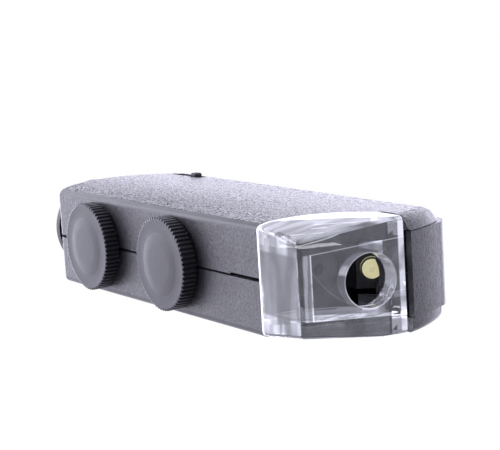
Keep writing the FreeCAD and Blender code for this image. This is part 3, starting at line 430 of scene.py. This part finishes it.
def lamp_plastic(name):
    """Clear lamp body with a yellow phosphor disc under the middle of its dome; the disc has a weak painted glow."""
    m = clear_plastic(name, (0.98, 0.98, 0.95, 1.0), 0.02, 1.5, 0.02)
    x, y, z = m.xyz()
    dx = m.math("SUBTRACT", x, 112.8)
    dy = m.math("SUBTRACT", y, 7.5)
    along = m.math("SUBTRACT", m.math("MULTIPLY", dx, 0.814), m.math("MULTIPLY", dy, 0.581))
    off = m.math("ADD", m.math("MULTIPLY", dx, 0.581), m.math("MULTIPLY", dy, 0.814))
    rad = m.math("SQRT", m.math("ADD", m.math("MULTIPLY", off, off), m.math("MULTIPLY", z, z)))
    disc = m.math("MULTIPLY", m.remap(rad, 2.1, 2.22, 1.0, 0.0), m.remap(along, -2.7, -2.5, 0.0, 1.0))
    mott = m.noise(1.3, 3.0, 0.6)
    fleck = m.noise(3.2, 2.0, 0.5)
    chip = m.math("MULTIPLY", m.remap(m.math("ABSOLUTE", off), 0.45, 0.6, 1.0, 0.0), m.remap(m.math("ABSOLUTE", z), 0.45, 0.6, 1.0, 0.0))
    tone = m.mix(m.remap(mott, 0.35, 0.65, 0.0, 1.0), (0.64, 0.58, 0.29, 1.0), (0.62, 0.60, 0.38, 1.0))
    tone = m.mix(m.math("MULTIPLY", m.remap(fleck, 0.5, 0.62, 0.0, 1.0), 0.35), tone, (0.42, 0.37, 0.17, 1.0))
    tone = m.mix(m.math("MULTIPLY", chip, 0.28), tone, (0.40, 0.38, 0.18, 1.0))
    tone = m.mix(m.remap(rad, 1.7, 2.1, 0.0, 0.4), tone, (0.75, 0.72, 0.5, 1.0))
    phosphor_glow = m.n("ShaderNodeBsdfPrincipled")
    m.put(phosphor_glow.inputs["Base Color"], m.mix(0.65, tone, (0.0, 0.0, 0.0, 1.0)))
    phosphor_glow.inputs["Roughness"].default_value = 0.5
    # painted glow: the phosphor disc emits its own tone
    m.put(phosphor_glow.inputs["Emission Color"], tone)
    phosphor_glow.inputs["Emission Strength"].default_value = 0.85
    m.l(m.bump(mott, 0.03), phosphor_glow.inputs["Normal"])
    mx = m.n("ShaderNodeMixShader")
    m.put(mx.inputs[0], disc)
    m.l(m.b.outputs[0], mx.inputs[1])
    m.l(phosphor_glow.outputs[0], mx.inputs[2])
    m.l(mx.outputs[0], m.out.inputs["Surface"])
    return m.m


def lens_glass(name, coat):
    m = Mat(name)
    cloud = m.noise(0.4, 2.0, 0.5)
    lw = m.n("ShaderNodeLayerWeight")
    lw.inputs["Blend"].default_value = 0.35
    col = m.mix(lw.outputs["Facing"], (0.97, 0.985, 0.98, 1.0), coat)
    m.set(Base_Color=col, Roughness=m.mixf(cloud, 0.0, 0.02), IOR=1.52)
    m.b.inputs["Transmission Weight"].default_value = 1.0
    m.put(m.b.inputs["Normal"], m.bump(m.noise(0.8, 1.0), 0.001))
    return m.m


def metal(name, base, rough=0.28, axis="Y", lines=14.0, line_h=0.004, tarnish=0.25):
    """Turned or stamped metal with tool lines round an axis and light tarnish."""
    m = Mat(name)
    s = {"X": (lines, 0.6, 0.6), "Y": (0.6, lines, 0.6), "Z": (0.6, 0.6, lines)}[axis]
    tool = m.noise(1.0, 2.0, 0.6, co=m.stretch(s))
    cloud = m.noise(0.5, 4.0, 0.65)
    col = m.mix(m.math("MULTIPLY", m.remap(cloud, 0.45, 0.7, 0.0, 1.0), tarnish), base, scaled(base, 0.55))
    wear = m.edge(0.12)
    col = m.mix(m.math("MULTIPLY", wear, 0.4), col, scaled(base, 1.25))
    r = m.math("ADD", m.mixf(cloud, rough - 0.06, rough + 0.12), m.math("MULTIPLY", tool, 0.08))
    m.set(Base_Color=col, Roughness=r, Metallic=1.0)
    m.put(m.b.inputs["Normal"], m.bump(tool, line_h))
    return m.m


def lacquer(name, base, rough=0.25, var=0.15):
    m = Mat(name)
    cloud = m.noise(0.9, 3.0, 0.6)
    fine = m.noise(6.0, 2.0, 0.5)
    col = m.mix(m.remap(cloud, 0.3, 0.7, 0.0, 1.0), scaled(base, 1.0 - var), scaled(base, 1.0 + var))
    m.set(Base_Color=col, Roughness=m.mixf(cloud, rough - 0.05, rough + 0.08), IOR=1.5)
    m.put(m.b.inputs["Normal"], m.bump(fine, 0.006))
    return m.m


def fibre(name, base):
    m = Mat(name)
    a = m.noise(1.0, 4.0, 0.7, co=m.stretch((1.2, 8.0, 5.0)))
    b = m.noise(3.0, 4.0, 0.7)
    col = m.mix(m.remap(a, 0.35, 0.65, 0.0, 1.0), scaled(base, 0.7), scaled(base, 1.4))
    m.set(Base_Color=col, Roughness=m.mixf(b, 0.75, 0.9), IOR=1.4)
    m.put(m.b.inputs["Normal"], m.bump(m.math("ADD", a, b), 0.03))
    return m.m


BODY = (0.021, 0.0205, 0.0255, 1.0)
KNOB = (0.030, 0.0295, 0.036, 1.0)
MATS = {
    "body_plastic": shell_plastic("case_grain_plastic", BODY),
    "clear_acrylic": foot_plastic("clear_acrylic"),
    "black_plastic": satin_plastic("black_moulding", (0.012, 0.012, 0.014, 1.0), 0.45),
    "lens_glass": lens_glass("coated_lens_glass", (0.75, 0.72, 0.95, 1.0)),
    "knob_plastic": satin_plastic("knob_plastic", KNOB, 0.40, grain=5.0, grain_h=0.012, sheen=0.30),
    "steel": metal("turned_steel", (0.58, 0.58, 0.6, 1.0), 0.26, "Y"),
    "spring_steel": metal("spring_steel", (0.30, 0.30, 0.33, 1.0), 0.34, "Y"),
    "washer_fibre": fibre("washer_fibre", (0.16, 0.05, 0.03, 1.0)),
    "screw_steel": metal("blackened_screw_steel", (0.16, 0.16, 0.17, 1.0), 0.36, "Z"),
    "led_epoxy": lamp_plastic("lamp_epoxy"),
    "tinned_wire": metal("tinned_wire", (0.72, 0.72, 0.73, 1.0), 0.3, "X"),
    "cell_steel": metal("cell_steel", (0.70, 0.69, 0.66, 1.0), 0.22, "X"),
    "contact_nickel": metal("contact_strip", (0.62, 0.57, 0.46, 1.0), 0.3, "Z"),
    "resistor_body": lacquer("resistor_lacquer", (0.55, 0.40, 0.22, 1.0)),
    "red_insulation": lacquer("red_insulation", (0.42, 0.015, 0.01, 1.0), 0.35),
    "black_insulation": lacquer("black_insulation", (0.012, 0.012, 0.012, 1.0), 0.4),
    "switch_metal": metal("switch_can", (0.6, 0.6, 0.6, 1.0), 0.3, "X"),
    "switch_nub": satin_plastic("switch_nub", (0.010, 0.010, 0.012, 1.0), 0.5),
    "brass": metal("blackened_brass", (0.045, 0.040, 0.036, 1.0), 0.45, "X"),
}
COVER = shell_plastic("cover_grain_plastic", BODY, joint_line=False)
SLOT = {p["node"]: p["material_slot"] for p in frame["record"]["subparts"]}
for name, ob in NODES.items():
    ob.data.materials.clear()
    ob.data.materials.append(COVER if name == "battery_cover" else MATS[SLOT[name]])


# ---------------------------------------------------------------- added pieces
def turned(name, profile, axis_z=0.0, steps=96):
    """Closed body of revolution round the optical axis; profile is a closed loop of (x, r) in mm."""
    bm = bmesh.new()
    rings = []
    for k in range(steps):
        a = 2 * math.pi * k / steps
        rings.append([bm.verts.new((x * MM, r * MM * math.cos(a), r * MM * math.sin(a) + axis_z * MM)) for x, r in profile])
    for k in range(steps):
        p, q = rings[k], rings[(k + 1) % steps]
        for i in range(len(profile)):
            j = (i + 1) % len(profile)
            bm.faces.new((p[i], p[j], q[j], q[i]))
    bmesh.ops.recalc_face_normals(bm, faces=bm.faces)
    me = bpy.data.meshes.new(name)
    bm.to_mesh(me)
    bm.free()
    ob = bpy.data.objects.new(name, me)
    bpy.context.scene.collection.objects.link(ob)
    for f in me.polygons:
        f.use_smooth = False
    return ob


stop = turned("objective_stop", [(102.30, 1.3), (102.55, 1.9), (102.60, 4.7), (102.45, 4.85), (102.25, 4.85), (102.25, 1.3)])
stop.data.materials.append(MATS["black_plastic"])
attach(stop, "focus_tube")


# ---------------------------------------------------------------- stage, light, camera
def direction_light(t, incoming=False):
    """Radiance of the studio by direction, as a node tree in t: bright behind, to the left and to the right, dark on the camera's own side."""
    def n(kind, **p):
        x = t.nodes.new(kind)
        for k, v in p.items():
            setattr(x, k, v)
        return x

    def m(op, a, b=0.0):
        x = n("ShaderNodeMath", operation=op)
        for i, v in enumerate((a, b)):
            if isinstance(v, bpy.types.NodeSocket):
                t.links.new(v, x.inputs[i])
            else:
                x.inputs[i].default_value = v
        return x.outputs[0]

    def ramp(v, a0, a1, b0, b1):
        x = n("ShaderNodeMapRange", interpolation_type="SMOOTHSTEP")
        t.links.new(v, x.inputs["Value"])
        for k, q in zip(("From Min", "From Max", "To Min", "To Max"), (a0, a1, b0, b1)):
            x.inputs[k].default_value = q
        return x.outputs[0]

    sp = n("ShaderNodeSeparateXYZ")
    if incoming:
        geo = n("ShaderNodeNewGeometry")
        flip = n("ShaderNodeVectorMath", operation="SCALE")
        flip.inputs["Scale"].default_value = -1.0
        t.links.new(geo.outputs["Incoming"], flip.inputs[0])
        t.links.new(flip.outputs[0], sp.inputs[0])
    else:
        tc = n("ShaderNodeTexCoord")
        t.links.new(tc.outputs["Generated"], sp.inputs[0])
    x, y, z = sp.outputs
    dark = m("ADD", m("MULTIPLY", x, DARK_AZ[0]), m("MULTIPLY", y, DARK_AZ[1]))
    side = ramp(dark, *DARK_RAMP)
    left = m("ADD", m("MULTIPLY", x, LEFT_AZ[0]), m("MULTIPLY", y, LEFT_AZ[1]))
    glow = ramp(left, 0.45, 0.95, 0.0, LEFT_GAIN)
    back = ramp(m("ADD", m("MULTIPLY", x, BACK_AZ[0]), m("MULTIPLY", y, BACK_AZ[1])), 0.5, 0.95, 0.0, BACK_GAIN)
    right = ramp(m("ADD", m("MULTIPLY", x, RIGHT_AZ[0]), m("MULTIPLY", y, RIGHT_AZ[1])), 0.72, 0.98, 0.0, RIGHT_GAIN)
    rear = ramp(m("ADD", m("MULTIPLY", x, REAR_AZ[0]), m("MULTIPLY", y, REAR_AZ[1])), 0.88, 0.99, 0.0, REAR_GAIN)
    up = ramp(z, 0.15, 0.9, 0.0, 1.0)
    level = m("ADD", m("ADD", m("ADD", m("ADD", m("MULTIPLY", side, BASE_LEVEL), glow), back), right), rear)
    if incoming:
        extra = ramp(m("ADD", m("MULTIPLY", x, BACK_AZ[0]), m("MULTIPLY", y, BACK_AZ[1])), 0.7, 0.97, 0.0, BACK_FLOOR)
        level = m("ADD", level, extra)
    mixed = m("ADD", m("MULTIPLY", level, m("SUBTRACT", 1.0, up)), m("MULTIPLY", up, TOP_LEVEL))
    # what is seen through the clear parts: a dim horizon under a brighter ceiling
    through = m("ADD", ramp(z, 0.10, 0.75, THROUGH[0], THROUGH[1]), ramp(z, -0.10, -0.8, 0.0, THROUGH[2]))
    lp = n("ShaderNodeLightPath")
    pick = n("ShaderNodeMix", data_type="FLOAT")
    t.links.new(lp.outputs["Is Transmission Ray"], pick.inputs[0])
    t.links.new(mixed, pick.inputs[2])
    t.links.new(m("DIVIDE", through, FLOOR_SHARE if incoming else 1.0), pick.inputs[3])
    return pick.outputs[0]


DARK_AZ = (0.70, -0.714)
DARK_RAMP = (0.33, 0.66, 1.0, 0.01)
LEFT_AZ = (-0.80, -0.60)
LEFT_GAIN = 1.42
BACK_AZ = (-0.83, 0.56)
BACK_GAIN = 1.0
BACK_FLOOR = 2.6
RIGHT_AZ = (-0.45, 0.893)
RIGHT_GAIN = 1.6
REAR_AZ = (-0.996, 0.087)
REAR_GAIN = 4.0
BASE_LEVEL = 1.3
TOP_LEVEL = 0.9
TINT = (0.975, 0.965, 1.14)
FLOOR_SHARE = 0.43
THROUGH = (0.17, 1.3, 0.7)


def floor():
    me = bpy.data.meshes.new("floor")
    bm = bmesh.new()
    z = CAD_BOX[0][2] - 0.00002
    vs = [bm.verts.new((x, y, z)) for x, y in ((-6, -6), (6, -6), (6, 6), (-6, 6))]
    bm.faces.new(vs)
    bm.to_mesh(me)
    bm.free()
    ob = bpy.data.objects.new("floor", me)
    bpy.context.scene.collection.objects.link(ob)
    m = Mat("pale_floor")
    v = m.noise(0.02, 2.0)
    m.set(Base_Color=m.mix(v, (0.30, 0.30, 0.31, 1), (0.33, 0.33, 0.34, 1)), Roughness=0.6)
    em = m.n("ShaderNodeEmission")
    em.inputs[0].default_value = (1.0, 1.0, 1.0, 1.0)
    em.inputs[1].default_value = 1.0
    lp = m.n("ShaderNodeLightPath")
    mx = m.n("ShaderNodeMixShader")
    m.l(lp.outputs["Is Camera Ray"], mx.inputs[0])
    own = m.n("ShaderNodeEmission")
    own.inputs[0].default_value = TINT + (1.0,)
    m.l(m.math("MULTIPLY", direction_light(m.t, True), FLOOR_SHARE), own.inputs[1])
    both = m.n("ShaderNodeAddShader")
    m.l(m.b.outputs[0], both.inputs[0])
    m.l(own.outputs[0], both.inputs[1])
    seen = m.n("ShaderNodeMixShader")
    m.l(lp.outputs["Is Transmission Ray"], seen.inputs[0])
    m.l(both.outputs[0], seen.inputs[1])
    m.l(own.outputs[0], seen.inputs[2])
    m.l(seen.outputs[0], mx.inputs[1])
    m.l(em.outputs[0], mx.inputs[2])
    m.l(mx.outputs[0], m.out.inputs["Surface"])
    me.materials.append(m.m)


floor()
world = bpy.data.worlds.new("studio")
bpy.context.scene.world = world
world.use_nodes = True
wt = world.node_tree
wt.nodes.clear()
wo = wt.nodes.new("ShaderNodeOutputWorld")
bg = wt.nodes.new("ShaderNodeBackground")
bg.inputs[0].default_value = TINT + (1.0,)
wt.links.new(direction_light(wt), bg.inputs[1])
bgc = wt.nodes.new("ShaderNodeBackground")
bgc.inputs[0].default_value = (1.0, 1.0, 1.0, 1.0)
wmix = wt.nodes.new("ShaderNodeMixShader")
wlp = wt.nodes.new("ShaderNodeLightPath")
wt.links.new(wlp.outputs["Is Camera Ray"], wmix.inputs[0])
wt.links.new(bg.outputs[0], wmix.inputs[1])
wt.links.new(bgc.outputs[0], wmix.inputs[2])
wt.links.new(wmix.outputs[0], wo.inputs[0])


def area(name, pos, target, size, power, size_y=None):
    d = bpy.data.lights.new(name, "AREA")
    d.energy = power
    d.size = size
    d.color = (0.98, 0.98, 1.1)
    if size_y:
        d.shape = "RECTANGLE"
        d.size_y = size_y
    o = bpy.data.objects.new(name, d)
    bpy.context.scene.collection.objects.link(o)
    o.location = pos
    o.rotation_euler = (Vector(target) - Vector(pos)).to_track_quat("-Z", "Y").to_euler()
    return o


CENTRE = (0.06, 0.0, 0.0)
area("left_softbox", (-0.30, -0.45, 0.30), CENTRE, 0.35, 2.0)

cam = bpy.data.cameras.new("camera")
cam_ob = bpy.data.objects.new("camera", cam)
bpy.context.scene.collection.objects.link(cam_ob)
R = ((0.54552641, 0.83593792, -0.06007272), (0.09707107, -0.13421774, -0.98618599), (-0.83245309, 0.53215918, -0.15436471))
C = (0.36870578, -0.18654406, 0.06135302)
mw = Matrix.Identity(4)
for i in range(3):
    mw[i][0] = R[0][i]
    mw[i][1] = -R[1][i]
    mw[i][2] = -R[2][i]
    mw[i][3] = C[i]
cam_ob.matrix_world = mw
cam.sensor_fit = "HORIZONTAL"
cam.sensor_width = 36.0
cam.lens = 36.0 * 1515.411 / 500.0
cam.clip_start = 0.01
cam.clip_end = 50.0
bpy.context.scene.camera = cam_ob
bpy.context.scene.view_settings.view_transform = "Standard"
bpy.context.scene.view_settings.look = "None"
